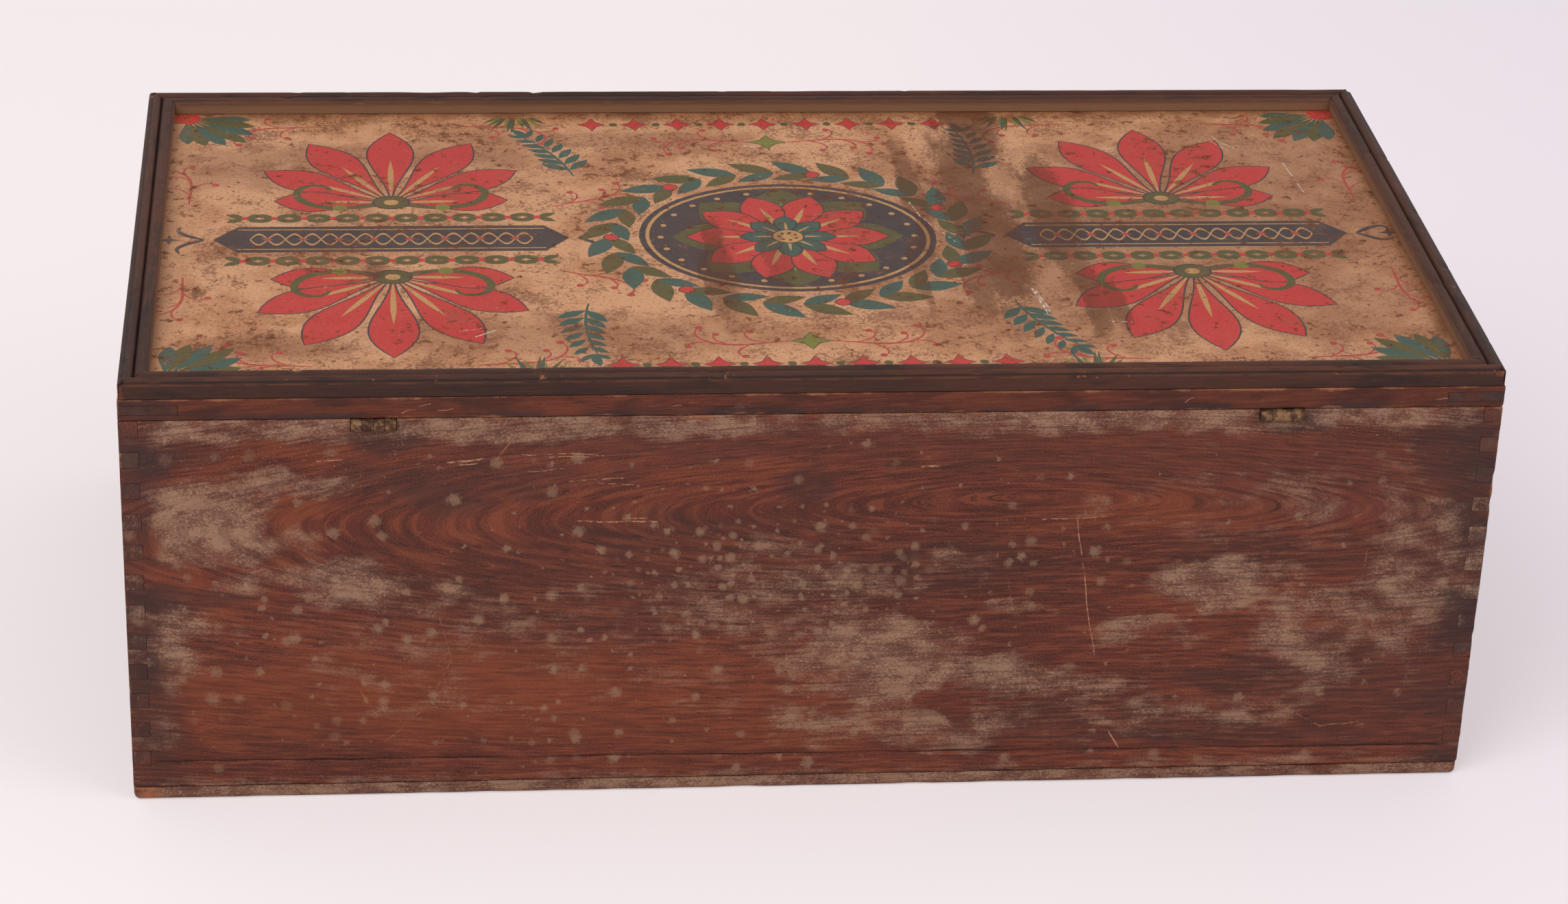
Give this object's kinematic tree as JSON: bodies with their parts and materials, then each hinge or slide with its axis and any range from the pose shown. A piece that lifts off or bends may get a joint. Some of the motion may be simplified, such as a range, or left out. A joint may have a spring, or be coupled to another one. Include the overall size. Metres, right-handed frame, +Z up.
{
  "type": "dye box",
  "caption": "Finger-jointed wooden counter box with a framed, tin-topped lid on butt hinges, a beaded moulding round the lid and an egg-crate of slats for packets.",
  "frame": {"origin": "middle of the underside, on the surface that the box stands on", "axes": "+X along the length towards the left end seen from the hinge side, +Y towards the hinge side, +Z up"},
  "size_m": [0.512, 0.2756, 0.1774],
  "materials": {
    "stained_wood": "red-brown stain, worn, dusty and spotted",
    "lid_wood": "red-brown stain with pale worn edges",
    "moulding_wood": "dark stain, chipped to bare wood at the corners",
    "bare_wood": "unfinished, aged",
    "printed_tin": "printed tin with rust specks, stains and worn ink",
    "hinge_brass": "tarnished and rusty",
    "hinge_pin": "rusty"
  },
  "bodies": {
    "carcass": {"back_board": "stained_wood", "front_board": "stained_wood", "left_end_board": "stained_wood", "right_end_board": "stained_wood", "bottom_board": "stained_wood", "long_divider_1": "bare_wood", "long_divider_2": "bare_wood", "cross_divider_1": "bare_wood", "cross_divider_2": "bare_wood", "cross_divider_3": "bare_wood", "cross_divider_4": "bare_wood", "left_hinge_body_leaf": "hinge_brass", "right_hinge_body_leaf": "hinge_brass", "left_hinge_pin": "hinge_pin", "right_hinge_pin": "hinge_pin"},
    "lid": {"lid_rail_back": "lid_wood", "lid_rail_front": "lid_wood", "lid_stile_left": "lid_wood", "lid_stile_right": "lid_wood", "lid_panel": "bare_wood", "label_plate": "printed_tin", "moulding_back": "moulding_wood", "moulding_front": "moulding_wood", "moulding_left": "moulding_wood", "moulding_right": "moulding_wood", "left_hinge_lid_leaf": "hinge_brass", "right_hinge_lid_leaf": "hinge_brass"}
  },
  "joints": [
    {"name": "lid_hinge", "type": "hinge", "parent": "carcass", "child": "lid", "pos_m": [0, 0.1368, 0.1592], "axis": [-1, 0, 0], "range_deg": [0, 180]}
  ]
}
